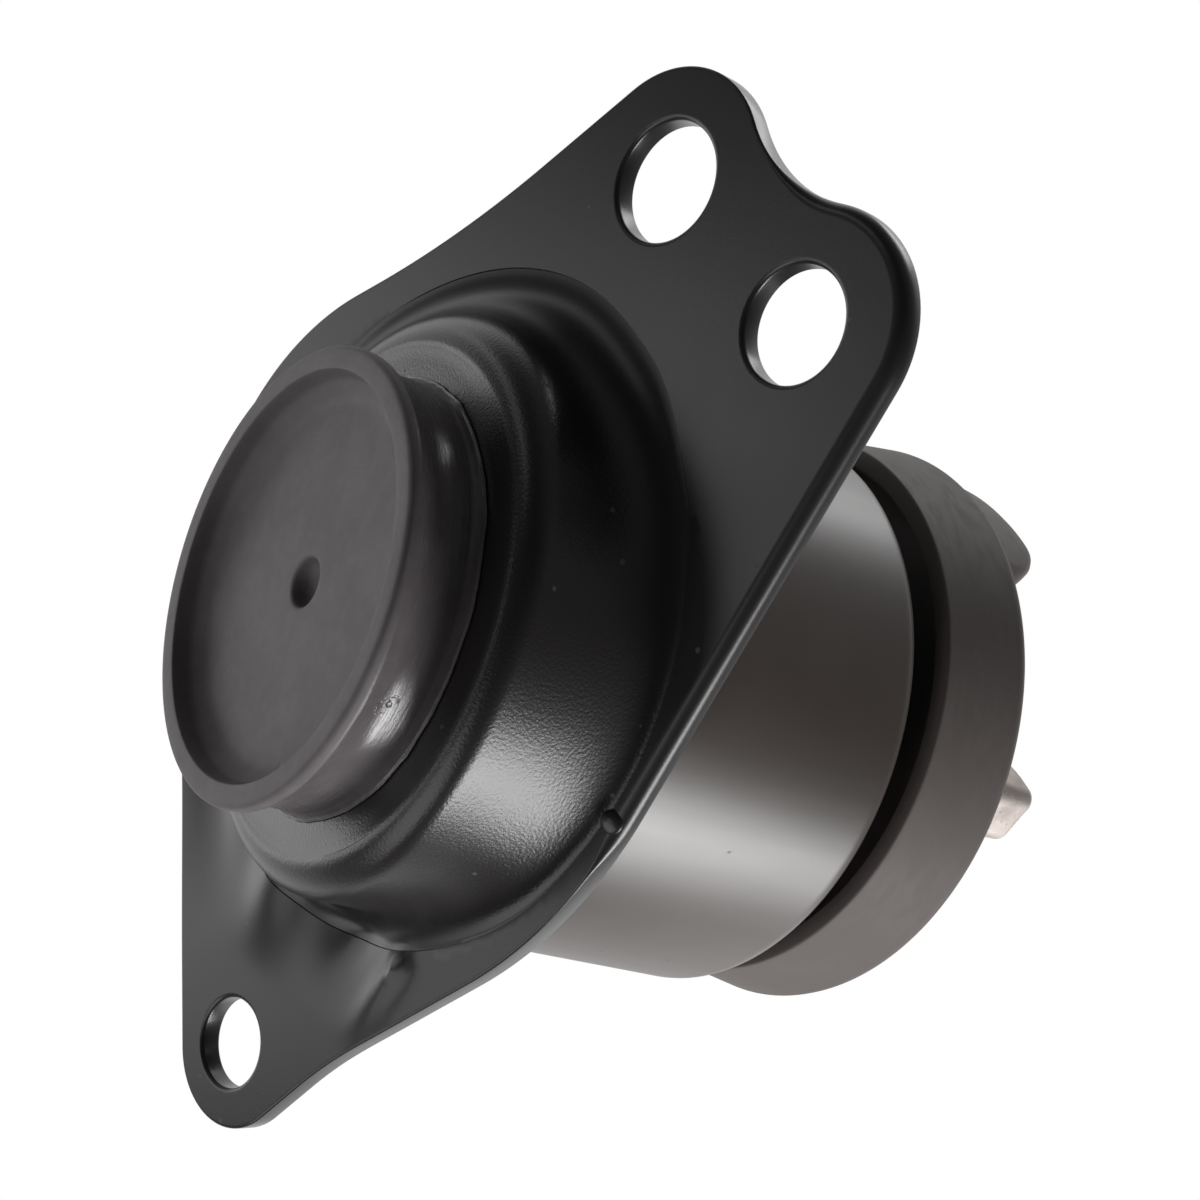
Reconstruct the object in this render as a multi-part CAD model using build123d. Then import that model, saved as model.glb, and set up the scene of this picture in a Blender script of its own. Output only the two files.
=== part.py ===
# Hydraulic engine mount: a rubber spring and a fluid-filled housing hung in a
# pressed three-hole flange. All sizes are in millimetres.
# Heights are counted from the plane of the base pad's rim. Every finished solid
# is then lowered by SEAT_H, so that the origin is the centre of the bracket
# seat on top of the core, with +Z along the axis towards the engine bracket.
# +X runs along the flange towards its two-hole end. The flange is tilted about X.
# A size that hangs on another is worked out from it and a named step.
import os
from math import acos, cos, radians, sin, sqrt, tan
from build123d import *

# whole mount
SEAT_H = 92.4            # bracket seat above the base pad's rim
SEAT_RISE = 57.2         # seat above the bellows ring's flange, as photographed

# pressed flange with its drawn cup
SHEET = 3.0              # flange sheet
CUP_WALL = 2.5           # thinned by drawing
TILT = 13.6              # flange plane against the mount's axis
FLANGE_H = 22.4          # where the flange's front plane crosses the axis
CUP_R = 36.0
CUP_END_H = 10.5         # flat end of the cup under the base pad
SHOULDER_R = 4.6
WALL_FILLET = 3.6
EDGE_ROUND = 1.1         # front edge of the sheet
BACK_ROUND = 0.35
HOLLOW_ROUND = 2.2       # inside corner at the cup's floor
NUB_R = 1.2
NUB_AT = (-4.1, 39.7, 0.9)
RIDGE_R = 5.5
RIDGE_WALL = 2.4
RIDGE_SLOPE = 11.0       # degrees by which a ridge runs down into the sheet
RIDGE_SKIN = 1.0         # a ridge's bar stays this far short of the sheet's middle
RIDGES = [((-32.0, -2.0, 2.6), 178.0, 23.0), ((-27.0, 19.0, 3.0), 188.0, 21.0)]

# flange outline: corner points in the flange plane with their corner radii
TIP = (-82.9, 4.8, 10.8)
LOW_LEFT = (-18.8, -49.7, 50.0)
LOW_RIGHT = (16.1, -49.7, 38.0)
WAIST = (41.2, -26.3, 160.0)
LOBE_A = (79.4, -2.4, 13.2)
NOTCH = (65.3, 16.5, 18.8)
LOBE_B = (71.0, 43.6, 14.1)
STRAIGHT_END = (-18.5, 39.4, 61.0)
TIP_WAIST = (-54.5, 17.0, 70.0)
OUTLINE = [TIP, LOW_LEFT, LOW_RIGHT, WAIST, LOBE_A, NOTCH, LOBE_B, STRAIGHT_END, TIP_WAIST]
WIDE = 2 * (LOBE_A[0] - TIP[0])      # wider than the part, for cutting blocks

# flange holes: centre in the flange plane and radius
HOLE_A = (59.9, 1.4, 7.25)
HOLE_B = (53.5, 28.1, 6.75)
HOLE_C = (-63.1, 1.1, 5.75)

# base pad: its recess, waist and foot lie this far in from its outer radius
PAD_R = 28.0
PAD_RIM = 2.9
PAD_WAIST = 1.5
PAD_FOOT = 1.0
PAD_RECESS = 3.9         # depth of the recess
DIMPLE_R = 2.9
PLUG_R = 5.0

# body sleeve
SLEEVE_STEP = 1.3        # the sleeve stands this far outside the cup
SLEEVE_WALL = 2.3
SLEEVE_BELOW_SEAT = 25.2
ROLL_R = 2.5             # its rolled end
ROLL_STEPS = 6
ROLL_LIP = 4.7           # how far the end is rolled in
SLEEVE_R = CUP_R + SLEEVE_STEP
SLEEVE_IN_R = SLEEVE_R - SLEEVE_WALL

# clamped stack inside the sleeve, from the bellows ring up to the sleeve's rolled end
STACK_GAP = 1.0          # between the flange's back and the bellows ring's own flange
RING_SHEET = 1.5
BELLOWS_RIM = 2.0
LOWER_PLATE = 5.0
UPPER_PLATE = 3.0
TRACK_FLOOR = 1.4        # left under the lower plate's groove
TRACK_W = 6.0
TRACK_FROM_RIM = 4.4
DAM_W = 7.0              # land between the two ends of the groove
SIEVE_R = 20.0
SIEVE_HOLE_R = 1.9
LOWER_WELL = 2.0
UPPER_WELL = 1.7
DECOUPLER_PLAY = 0.4
PORT_R = 2.4
RIVET_R = 1.25
RIVET_FROM_RIM = 2.4     # the rivets' centres lie this far in from the stack's edge
SPRING_RING_SHEET = 2.0
RING_SEAT_W = 5.8        # width of the spring ring's foot
RING_SEAT_T = 2.5
BOND_RISE = 6.3          # where the ring's wall starts above its foot
FILL_STEP = 1.3          # fill hole above the upper plate
FILL_DEG = 250.0
FILL_R = 1.9
VENT_R = 1.0             # hole through the spring ring behind the fill ball
STACK_R = SLEEVE_IN_R - 0.2
HOLLOW_R = CUP_R - CUP_WALL
FLOOR_H = CUP_END_H + CUP_WALL
BACK_H = FLANGE_H + SHEET / cos(radians(TILT)) + CUP_R * tan(radians(TILT))
RING_FLANGE_H = round(BACK_H + STACK_GAP, 1)
BELLOWS_H = RING_FLANGE_H + RING_SHEET
LOWER_H = BELLOWS_H + BELLOWS_RIM
UPPER_H = LOWER_H + LOWER_PLATE
SPRING_RING_H = UPPER_H + UPPER_PLATE
RING_IN_R = HOLLOW_R - 0.3 - RING_SHEET

# what stands above the flange grows with the seat's height
TALL = (SEAT_H - RING_FLANGE_H) / SEAT_RISE
SLEEVE_TOP = SEAT_H - SLEEVE_BELOW_SEAT * TALL
LIP_H = SLEEVE_TOP - SLEEVE_WALL

# core
CORE_TURN = 12.5         # the core's head stands turned by this angle
CORE_STEP = 7.3          # the core's foot above the upper plate
STEM_R = 15.9
CONE_R = 18.0            # widest part of the cone that the spring is bonded to
CONE_FOOT_R = 11.0
CONE_FOOT = 4.0          # height of the cone's chamfered foot
HEAD_L = 46.0
HEAD_W = 34.8
HEAD_H = 7.9
HEAD_CORNER_R = 6.0
LUG_W = 9.4
LUG_START = 12.0
LUG_END = 28.6
LUG_RISE = 6.5           # lug above the bracket seat
LUG_CORNER_R = 2.4
LUG_TOP_R = 1.3
INSERT_R = 9.0
INSERT_END = 2.0         # closed end of the insert
INSERT_STEP = 12.4       # casting between the core's foot and the insert
THREAD_R = 5.15          # tapping size of an M12 thread
SCREW_R = 2.6
SCREW_L = 7.5            # length of the bell screw inside the core
BELL_DISH = 1.8
CONE_BELOW_CAP = 9.1     # the cone's widest part below the top of the cap
CORE_FOOT_H = SPRING_RING_H + CORE_STEP * TALL
INSERT_LOW = CORE_FOOT_H + INSERT_STEP * TALL
THREAD_DEEP = SEAT_H - INSERT_LOW - INSERT_END
CAP_TOP_H = SEAT_H - HEAD_H
CONE_TOP_H = CAP_TOP_H - CONE_BELOW_CAP * TALL
LUG_TOP_H = SEAT_H + LUG_RISE

# rubber stop cap
CAP_OFF = 2.1            # the cap's rim stands this far off centre, towards +X
CAP_RIM_RISE = 0.9
CAP_DEEP = 12.6          # from the rim to the front of the skirt
CAP_FLARE = 1.6          # the rim is this much wider than the skirt's front
CAP_SKIRT = 2.8
CAP_PLATE = 4.9
LOBE_RISE = 10.0
LOBE_HALF_DEG = 37.0     # half width of a stop at its foot
LOBE_SLOPE = 35.0        # a stop's ends lean in by this angle
LOBE_INSET = 1.8         # inside the rim
LOBE_DEPTH = 8.8
LOBE_ROOT = 2.0          # how far a stop is let into the cap
LOBE_END_R = 3.0
LOBE_TOP_R = 2.8
CAP_RIM_H = CAP_TOP_H + CAP_RIM_RISE
CAP_FRONT_H = CAP_RIM_H - CAP_DEEP * TALL
CAP_FRONT_R = SLEEVE_R
CAP_RIM_R = CAP_FRONT_R + CAP_FLARE
LOBE_TOP_H = CAP_TOP_H + LOBE_RISE
LOBE_R = CAP_RIM_R - LOBE_INSET


def corner_arc(before, corner, after):
    """Start, middle and end of the arc that rounds one corner."""
    x, y, r = corner
    ax = before[0] - x
    ay = before[1] - y
    bx = after[0] - x
    by = after[1] - y
    la = sqrt(ax * ax + ay * ay)
    lb = sqrt(bx * bx + by * by)
    ax, ay, bx, by = ax / la, ay / la, bx / lb, by / lb
    half = acos(max(-1.0, min(1.0, ax * bx + ay * by))) / 2
    run = r / tan(half)
    mx = ax + bx
    my = ay + by
    lm = sqrt(mx * mx + my * my)
    reach = r / sin(half) - r
    start = (x + ax * run, y + ay * run)
    middle = (x + mx / lm * reach, y + my / lm * reach)
    end = (x + bx * run, y + by * run)
    return start, middle, end


def rounded_face(corners):
    """A flat face whose outline is a polygon with every corner rounded."""
    arcs = []
    for i in range(len(corners)):
        after = corners[(i + 1) % len(corners)]
        arcs.append(corner_arc(corners[i - 1], corners[i], after))
    edges = []
    for i in range(len(arcs)):
        start, middle, end = arcs[i]
        edges.append(ThreePointArc(start, middle, end))
        edges.append(Line(end, arcs[(i + 1) % len(arcs)][0]))
    return make_face(edges)


def turned(points):
    """Solid of revolution about the mount's axis from (radius, height) points."""
    wire = Polyline([(r, 0, h) for r, h in points], close=True)
    return revolve(make_face(wire), Axis.Z, 360)


def disc(r, low, high):
    return Pos(0, 0, (low + high) / 2) * Cylinder(r, high - low)


def edges_where(solid, test):
    """Edges whose points at a quarter, half and three quarters all pass a test."""
    found = []
    for edge in solid.edges():
        points = [edge.position_at(t) for t in (0.25, 0.5, 0.75)]
        if all(test(p) for p in points):
            found.append(edge)
    return found


def radius(p):
    return sqrt(p.X ** 2 + p.Y ** 2)


FLANGE = Location((0, 0, FLANGE_H), (TILT, 0, 0))


def above_flange(p):
    """Height of a point over the flange's front plane, along the plane's normal."""
    a = radians(TILT)
    return (p.Z - FLANGE_H) * cos(a) - p.Y * sin(a)


def before_flange(depth):
    """A block that fills all in front of a plane this deep in the sheet."""
    return FLANGE * Pos(0, 0, depth - WIDE / 2) * Box(WIDE, WIDE, WIDE)


# Flange and cup: one pressing. The plate is drawn into a closed cup that holds the
# bellows, and the base pad is moulded on the cup's flat end.
plate = FLANGE * extrude(rounded_face(OUTLINE), SHEET)
front_edges = edges_where(plate, lambda p: abs(above_flange(p)) < 0.01)
plate = fillet(front_edges, EDGE_ROUND)
back_edges = edges_where(plate, lambda p: abs(above_flange(p) - SHEET) < 0.01)
plate = fillet(back_edges, BACK_ROUND)
cup = disc(CUP_R, CUP_END_H, SLEEVE_TOP)
cup = fillet(edges_where(cup, lambda p: abs(p.Z - CUP_END_H) < 0.01), SHOULDER_R)
cup = cup & before_flange(SHEET)
flange_cup = plate + cup


def at_wall_foot(p):
    return abs(above_flange(p)) < 0.05 and radius(p) < CUP_R + 0.3


flange_cup = fillet(edges_where(flange_cup, at_wall_foot), WALL_FILLET)
hollow = disc(HOLLOW_R, FLOOR_H, SLEEVE_TOP)
hollow = fillet(edges_where(hollow, lambda p: p.Z < FLOOR_H + 0.01), HOLLOW_ROUND)
flange_cup = flange_cup - hollow - disc(PLUG_R, CUP_END_H - 1, FLOOR_H + 1)
for x, y, r in (HOLE_A, HOLE_B, HOLE_C):
    flange_cup = flange_cup - FLANGE * Pos(x, y, 0) * Cylinder(r, 4 * SHEET)

# Two soft ridges stiffen the single-hole tab where it leaves the cup. Each is a round bar laid
# into the sheet at a slope, and a thinner bar is taken out of the sheet's back behind it.
clear_of_sleeve = disc(SLEEVE_R + 1.2, 0, SLEEVE_TOP)
for (x, y, depth), turn_deg, length in RIDGES:
    lie = FLANGE * Pos(x, y, depth) * Rot(0, 0, turn_deg) * Rot(0, -90 + RIDGE_SLOPE, 0) * Pos(0, 0, length / 2)
    bar = lie * Cylinder(RIDGE_R, length) & before_flange(RIDGE_SKIN)
    flange_cup = flange_cup + bar - hollow
    flange_cup = flange_cup - (lie * Cylinder(RIDGE_R - RIDGE_WALL, length) - clear_of_sleeve)

# A small press nib stands on the straight edge beside the cup.
flange_cup = flange_cup + FLANGE * Pos(*NUB_AT) * Sphere(NUB_R)

# Base pad: rubber moulded on the cup's end and keyed through its centre hole.
recess_r = PAD_R - PAD_RIM
waist_r = PAD_R - PAD_WAIST
lap_r = PAD_R - 0.3
pad_points = [(0, PAD_RECESS), (recess_r - 4.6, PAD_RECESS), (recess_r - 2.5, PAD_RECESS - 0.4),
              (recess_r - 1.1, PAD_RECESS * 0.62), (recess_r - 0.3, 1.0), (recess_r, 0.25),
              (recess_r + 0.3, 0), (PAD_R - 0.8, 0), (PAD_R - 0.2, 0.25), (PAD_R, 0.8), (PAD_R, 1.6),
              (PAD_R - 0.7, 2.8), (waist_r + 0.3, 4.2), (waist_r, CUP_END_H - 4.9),
              (waist_r + 0.1, CUP_END_H - 3.1), (PAD_R - PAD_FOOT, CUP_END_H - 0.9),
              (lap_r, CUP_END_H - 0.25), (lap_r, CUP_END_H), (PLUG_R, CUP_END_H), (PLUG_R, FLOOR_H),
              (PLUG_R + 1.6, FLOOR_H + 0.1), (PLUG_R + 1.2, FLOOR_H + 1.4), (PLUG_R - 0.4, FLOOR_H + 2.6),
              (0, FLOOR_H + 2.6)]
base_pad = turned(pad_points)
base_pad = base_pad - disc(DIMPLE_R, PAD_RECESS - 0.1, PAD_RECESS + 2.5)

# Body sleeve: steel tube welded to the flange's back, its far end rolled in over the stack.
roll = []
for k in range(ROLL_STEPS + 1):
    a = radians(90 * k / ROLL_STEPS)
    roll.append((SLEEVE_R - ROLL_R + ROLL_R * cos(a), SLEEVE_TOP - ROLL_R + ROLL_R * sin(a)))
lip_r = SLEEVE_R - ROLL_LIP
sleeve_inside = [(lip_r, SLEEVE_TOP), (lip_r, LIP_H), (SLEEVE_IN_R, LIP_H), (SLEEVE_IN_R, 0)]
sleeve = turned([(SLEEVE_R, 0)] + roll + sleeve_inside)
sleeve = sleeve - before_flange(SHEET)

# Bellows ring: a steel cage that stands in the cup and carries the stack.
cage_r = HOLLOW_R - 0.3
bellows_ring = turned([(cage_r, FLOOR_H + 2.6), (cage_r, RING_FLANGE_H), (STACK_R, RING_FLANGE_H),
                       (STACK_R, BELLOWS_H), (RING_IN_R, BELLOWS_H), (RING_IN_R, FLOOR_H + 1.6),
                       (RING_IN_R - 6.7, FLOOR_H + 1.6), (RING_IN_R - 6.7, FLOOR_H), (cage_r - 2.6, FLOOR_H)])

# Bellows: a thin rolling diaphragm that closes the lower fluid chamber.
# Each point is (in from the ring, down from the ring's top).
roll_up = [(1.1, -BELLOWS_RIM), (2.3, 0.3), (3.1, 6.7), (5.1, 11.3), (8.7, 13.1), (12.3, 11.3), (14.1, 7.1),
           (17.1, 4.3)]
roll_back = [(18.1, 6.2), (15.7, 8.1), (13.9, 12.5), (8.9, 15.1), (3.7, 12.8), (1.3, 7.1), (0.3, 0)]
bellows_points = [(STACK_R, BELLOWS_H), (STACK_R, LOWER_H)]
bellows_points += [(RING_IN_R - r, BELLOWS_H - h) for r, h in roll_up]
bellows_points += [(0, BELLOWS_H - 3.7), (0, BELLOWS_H - 5.7)]
bellows_points += [(RING_IN_R - r, BELLOWS_H - h) for r, h in roll_back]
bellows = turned(bellows_points)

# Lower channel plate: the fluid runs round its groove between the two chambers.
track_out = STACK_R - TRACK_FROM_RIM
track_in = track_out - TRACK_W
track_mid = (track_out + track_in) / 2
track_h = LOWER_H + TRACK_FLOOR
lower_plate = disc(STACK_R, LOWER_H, UPPER_H)
groove = disc(track_out, track_h, UPPER_H + 1) - disc(track_in, LOWER_H, UPPER_H + 2)
dam = Rot(0, 0, 200) * Pos(track_mid, 0, UPPER_H) * Box(TRACK_W + 2, DAM_W, 2 * LOWER_PLATE)
lower_plate = lower_plate - (groove - dam)
lower_plate = lower_plate - disc(SIEVE_R, UPPER_H - LOWER_WELL, UPPER_H + 1)
lower_plate = lower_plate - Rot(0, 0, 217) * Pos(track_mid, 0, UPPER_H) * Cylinder(PORT_R, 4 * LOWER_PLATE)

# Upper channel plate: covers the groove and lets the fluid in at the other end.
upper_plate = disc(STACK_R, UPPER_H, SPRING_RING_H) - disc(SIEVE_R, UPPER_H - 1, UPPER_H + UPPER_WELL)
upper_plate = upper_plate - Rot(0, 0, 183) * Pos(track_mid, 0, UPPER_H) * Cylinder(PORT_R, 4 * LOWER_PLATE)

# Both plates have a sieve of holes over the decoupler.
for ring_r, count in ((0.0, 1), (0.35 * SIEVE_R, 6), (0.7 * SIEVE_R, 12)):
    for k in range(count):
        spot = Rot(0, 0, 360 * k / count) * Pos(ring_r, 0, UPPER_H)
        lower_plate = lower_plate - spot * Cylinder(SIEVE_HOLE_R, 4 * LOWER_PLATE)
        upper_plate = upper_plate - spot * Cylinder(SIEVE_HOLE_R, 4 * LOWER_PLATE)

# Three rivets hold the two plates together outside the groove.
rivets = []
for k in range(3):
    spot = Rot(0, 0, 60 + 120 * k) * Pos(STACK_R - RIVET_FROM_RIM, 0, 0)
    hole = spot * disc(RIVET_R, LOWER_H - 1, SPRING_RING_H + 1)
    lower_plate = lower_plate - hole
    upper_plate = upper_plate - hole
    rivets.append(spot * disc(RIVET_R, LOWER_H, SPRING_RING_H))
track_rivets = Compound(children=rivets)

# Decoupler: a loose rubber disc between the sieves.
decoupler = disc(SIEVE_R - 0.5, UPPER_H - LOWER_WELL, UPPER_H + UPPER_WELL - DECOUPLER_PLAY)

# Spring ring: steel, bonded to the rubber spring and held down by the sleeve's rolled end.
ring_r = STACK_R - SPRING_RING_SHEET
seat_r = STACK_R - RING_SEAT_W
bond_low = SPRING_RING_H + BOND_RISE * TALL
seat_h = SPRING_RING_H + RING_SEAT_T * TALL
spring_ring = turned([(STACK_R, SPRING_RING_H), (STACK_R, LIP_H), (ring_r, LIP_H), (ring_r, bond_low),
                      (seat_r, seat_h), (seat_r, SPRING_RING_H)])

# Core: cast aluminium cone, stem and head. Its lug is the bright block seen past the cap.
cone_foot_h = CORE_FOOT_H + CONE_FOOT * TALL
screw_h = CORE_FOOT_H + SCREW_L * TALL
dish_r = CONE_FOOT_R - 2.5
stem_top_h = CAP_TOP_H + 1.5
core = turned([(0, CORE_FOOT_H), (dish_r, CORE_FOOT_H), (CONE_FOOT_R, cone_foot_h), (CONE_R, CONE_TOP_H),
               (CONE_R, CONE_TOP_H + 1.1), (STEM_R, CONE_TOP_H + 1.8), (STEM_R, stem_top_h), (0, stem_top_h)])
head = Pos(0, 0, CAP_TOP_H + HEAD_H / 2) * Box(HEAD_W, HEAD_L, HEAD_H)
head = fillet(head.edges().filter_by(Axis.Z), HEAD_CORNER_R)
lug_x = (HEAD_W - LUG_W) / 2
lug_h = HEAD_H + LUG_RISE
lug = Pos(lug_x, (LUG_START + LUG_END) / 2, CAP_TOP_H + lug_h / 2) * Box(LUG_W, LUG_END - LUG_START, lug_h)
lug = fillet(lug.edges().filter_by(Axis.Z), LUG_CORNER_R)
lug = fillet(edges_where(lug, lambda p: p.Z > LUG_TOP_H - 0.01), LUG_TOP_R)
core = core + Rot(0, 0, CORE_TURN) * (head + lug)
core = core - disc(INSERT_R, INSERT_LOW, SEAT_H + 1)
core = core - disc(SCREW_R, CORE_FOOT_H - 1, screw_h + 0.5)

# Threaded insert: a steel bush pressed into the core, tapped for the bracket bolt.
core_insert = disc(INSERT_R, INSERT_LOW, SEAT_H)
core_insert = core_insert - disc(THREAD_R, SEAT_H - THREAD_DEEP, SEAT_H + 1)

# Bell plate: a steel disc under the core that stirs the fluid and limits the rebound.
bell_r = CONE_R - 0.5
bell_h = CORE_FOOT_H - 1.6
bell_plate = turned([(SCREW_R + 0.1, bell_h), (dish_r, bell_h), (bell_r - 3.5, bell_h - BELL_DISH),
                     (bell_r, bell_h - BELL_DISH), (bell_r, bell_h - 0.3), (bell_r - 3.1, bell_h - 0.3),
                     (dish_r + 0.4, CORE_FOOT_H), (SCREW_R + 0.1, CORE_FOOT_H)])
head_r = SCREW_R + 2.2
bell_screw = turned([(0, bell_h - 3), (head_r - 0.6, bell_h - 3), (head_r, bell_h - 2.2), (head_r, bell_h),
                     (SCREW_R, bell_h), (SCREW_R, screw_h), (0, screw_h)])

# Main spring: the rubber cone bonded between the core and the spring ring. Its outer and inner
# faces are drawn as shares of the way between the two metal parts.
skirt_h = LIP_H - 2.3
outer_face = [(1.0, 0.0), (0.878, 0.078), (0.716, 0.266), (0.46, 0.61), (0.19, 0.906), (0.0, 1.0)]
inner_face = [(0.0, 4.0), (0.078, 2.2), (0.256, 2.6), (0.478, 3.0), (0.722, 0.6), (0.911, -3.4)]
spring_points = [(ring_r, bond_low)]
spring_points += [(CONE_R + (ring_r - CONE_R) * r, skirt_h + (CONE_TOP_H - skirt_h) * h) for r, h in outer_face]
spring_points += [(CONE_FOOT_R + (seat_r - CONE_FOOT_R) * r, CORE_FOOT_H + h * TALL) for r, h in inner_face]
spring_points += [(seat_r, seat_h)]
main_spring = turned(spring_points)

# Stop cap: rubber disc pulled over the core's head, with a skirt over the sleeve's end
# and two raised stops. The one at +X is seen in the photo.
skirt_in = CAP_FRONT_R - CAP_SKIRT
plate_h = CAP_TOP_H - CAP_PLATE
cap = turned([(0, CAP_TOP_H), (CAP_RIM_R - 6.8, CAP_TOP_H), (CAP_RIM_R - 5.5, CAP_TOP_H + 0.5),
              (CAP_RIM_R - 4.1, CAP_RIM_H), (CAP_RIM_R - 1.0, CAP_RIM_H), (CAP_RIM_R - 0.3, CAP_RIM_H - 0.4),
              (CAP_RIM_R, CAP_RIM_H - 1.4), (CAP_FRONT_R, CAP_FRONT_H + 0.9), (CAP_FRONT_R - 0.9, CAP_FRONT_H),
              (skirt_in, CAP_FRONT_H), (skirt_in - 0.5, CAP_FRONT_H + 1.0), (skirt_in - 0.9, plate_h - 1.4),
              (skirt_in - 2.5, plate_h), (0, plate_h)])
lobe_low = CAP_TOP_H - LOBE_ROOT
lobe = disc(LOBE_R, lobe_low, LOBE_TOP_H) - disc(LOBE_R - LOBE_DEPTH, lobe_low - 1, LOBE_TOP_H + 1)
for side in (1, -1):
    end = Pos(0, 0, lobe_low) * Rot(0, 0, side * LOBE_HALF_DEG) * Rot(side * LOBE_SLOPE, 0, 0)
    lobe = lobe - end * Pos(0, side * WIDE / 2, 0) * Box(WIDE, WIDE, WIDE)
lobe = fillet(edges_where(lobe, lambda p: lobe_low + 0.5 < p.Z < LOBE_TOP_H - 0.5), LOBE_END_R)
lobe = fillet(edges_where(lobe, lambda p: p.Z > LOBE_TOP_H - 0.01), LOBE_TOP_R)
cap = Pos(CAP_OFF, 0, 0) * (cap + lobe + Rot(0, 0, 180) * lobe)
stop_cap = cap - disc(STEM_R, 0, LOBE_TOP_H)

# Fill ball: pressed into the sleeve after the upper chamber is filled through the ring behind it.
fill_line = Rot(0, 0, FILL_DEG) * Pos(0, 0, SPRING_RING_H + FILL_STEP) * Rot(0, 90, 0)
sleeve = sleeve - fill_line * Pos(0, 0, SLEEVE_R) * Cylinder(FILL_R, 4 * SLEEVE_WALL)
spring_ring = spring_ring - fill_line * Pos(0, 0, ring_r) * Cylinder(VENT_R, 4 * RING_SEAT_W)
fill_ball = fill_line * Pos(0, 0, STACK_R + FILL_R + 0.1) * Sphere(FILL_R)

NODES = {
    "flange_cup": flange_cup,
    "base_pad": base_pad,
    "sleeve": sleeve,
    "bellows_ring": bellows_ring,
    "bellows": bellows,
    "lower_plate": lower_plate,
    "decoupler": decoupler,
    "upper_plate": upper_plate,
    "track_rivets": track_rivets,
    "spring_ring": spring_ring,
    "core": core,
    "core_insert": core_insert,
    "bell_plate": bell_plate,
    "bell_screw": bell_screw,
    "main_spring": main_spring,
    "stop_cap": stop_cap,
    "fill_ball": fill_ball,
}

os.makedirs("parts", exist_ok=True)
down = Location((0, 0, -SEAT_H))
for name, solid in NODES.items():
    placed = solid.moved(down)
    export_step(placed, "parts/" + name + ".step")
    box = placed.bounding_box()
    print(name, round(placed.volume), "mm3", len(placed.solids()), "solid(s)", placed.is_valid,
          [round(v, 1) for v in (box.min.X, box.min.Y, box.min.Z, box.max.X, box.max.Y, box.max.Z)])
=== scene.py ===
from math import atan2, ceil, cos, degrees, exp, hypot, pi, radians, sin, sqrt, tan

import bmesh
import bpy
import numpy as np
from mathutils import Euler, Matrix, Vector, noise
from mathutils.geometry import delaunay_2d_cdt


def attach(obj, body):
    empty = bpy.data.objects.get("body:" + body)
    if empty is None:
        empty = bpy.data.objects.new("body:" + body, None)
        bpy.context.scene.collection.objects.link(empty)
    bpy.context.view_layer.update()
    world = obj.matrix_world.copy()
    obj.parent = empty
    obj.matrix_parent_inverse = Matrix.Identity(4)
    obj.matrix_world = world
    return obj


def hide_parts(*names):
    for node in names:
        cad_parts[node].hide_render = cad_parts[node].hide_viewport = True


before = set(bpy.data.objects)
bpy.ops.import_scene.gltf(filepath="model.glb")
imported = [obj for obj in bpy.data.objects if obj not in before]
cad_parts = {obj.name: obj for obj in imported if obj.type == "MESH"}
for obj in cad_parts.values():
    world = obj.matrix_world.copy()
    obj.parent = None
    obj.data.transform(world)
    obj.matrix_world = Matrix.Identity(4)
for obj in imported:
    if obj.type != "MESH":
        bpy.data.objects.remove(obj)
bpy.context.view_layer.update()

# Flange and cup. One pressing of 3 mm steel sheet: a three-hole flange, drawn
# into a closed cup that stands square to the mount's axis while the flange is
# tilted to it. Pierced, then painted satin black.
SEAT_H = 92.4            # the frame's origin above the base pad's rim, in millimetres
TILT = radians(13.6)
FLANGE_H = 22.4          # where the flange's front crosses the axis
SHEET = 3.0
CUP_R = 36.0
CUP_END_H = 10.5
CENTRE_HOLE_R = 5.0      # the hole that the pad is keyed through
SHOULDER_R = 4.6
END_EDGE_R = 31.5          # crisp edge between the cup's flat end and its shoulder
HOLLOW_R = 33.5          # inside of the cup
HOLLOW_H = 13.0
HOLLOW_BEND = 2.2
# outline corners as (along, up the sheet, corner radius), and holes as (along, up, radius)
FLANGE_CORNERS = [(-82.9, 4.8, 10.8), (-18.8, -49.7, 50.0), (16.1, -49.7, 38.0), (41.2, -26.3, 160.0),
                  (79.4, -2.4, 13.2), (65.3, 16.5, 18.8), (71.0, 43.6, 14.1), (-18.5, 39.4, 61.0),
                  (-54.5, 17.0, 70.0)]
FLANGE_HOLES = [(59.9, 1.4, 7.25), (53.5, 28.1, 6.75), (-63.1, 1.1, 5.75)]
CUP_FLAT = 1.6           # how much nearer to the axis the cup's wall is beside the straight edge
CUP_LONG = 0.8           # and how much further from it towards the tabs
# by degrees round the cup: how far along its wall the flare into the sheet reaches, and the draw radius
WALL_FLARE = [(-180, 0.0), (-60, 0.0), (0, 6.0), (40, 8.0), (68, 14.0), (110, 14.0), (140, 7.0), (180, 0.0)]
DRAW_RADII = [(-180, 4.5), (-130, 4.0), (-90, 4.2), (-45, 6.0), (0, 8.0), (18, 7.6), (40, 5.6), (60, 4.4),
              (79, 3.8), (105, 3.4), (131, 4.2), (155, 4.6), (180, 4.5)]
EDGE_CLEAR = 0.45        # least flat sheet between the draw radius and the rounded edge
EDGE_ROUND = (0.32, 1.7)  # the front edge's rounding, least and along the straight edge
HOLE_ROUND = 0.55
BACK_ROUND = 0.35
HOLE_BACK_ROUND = 0.3
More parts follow.
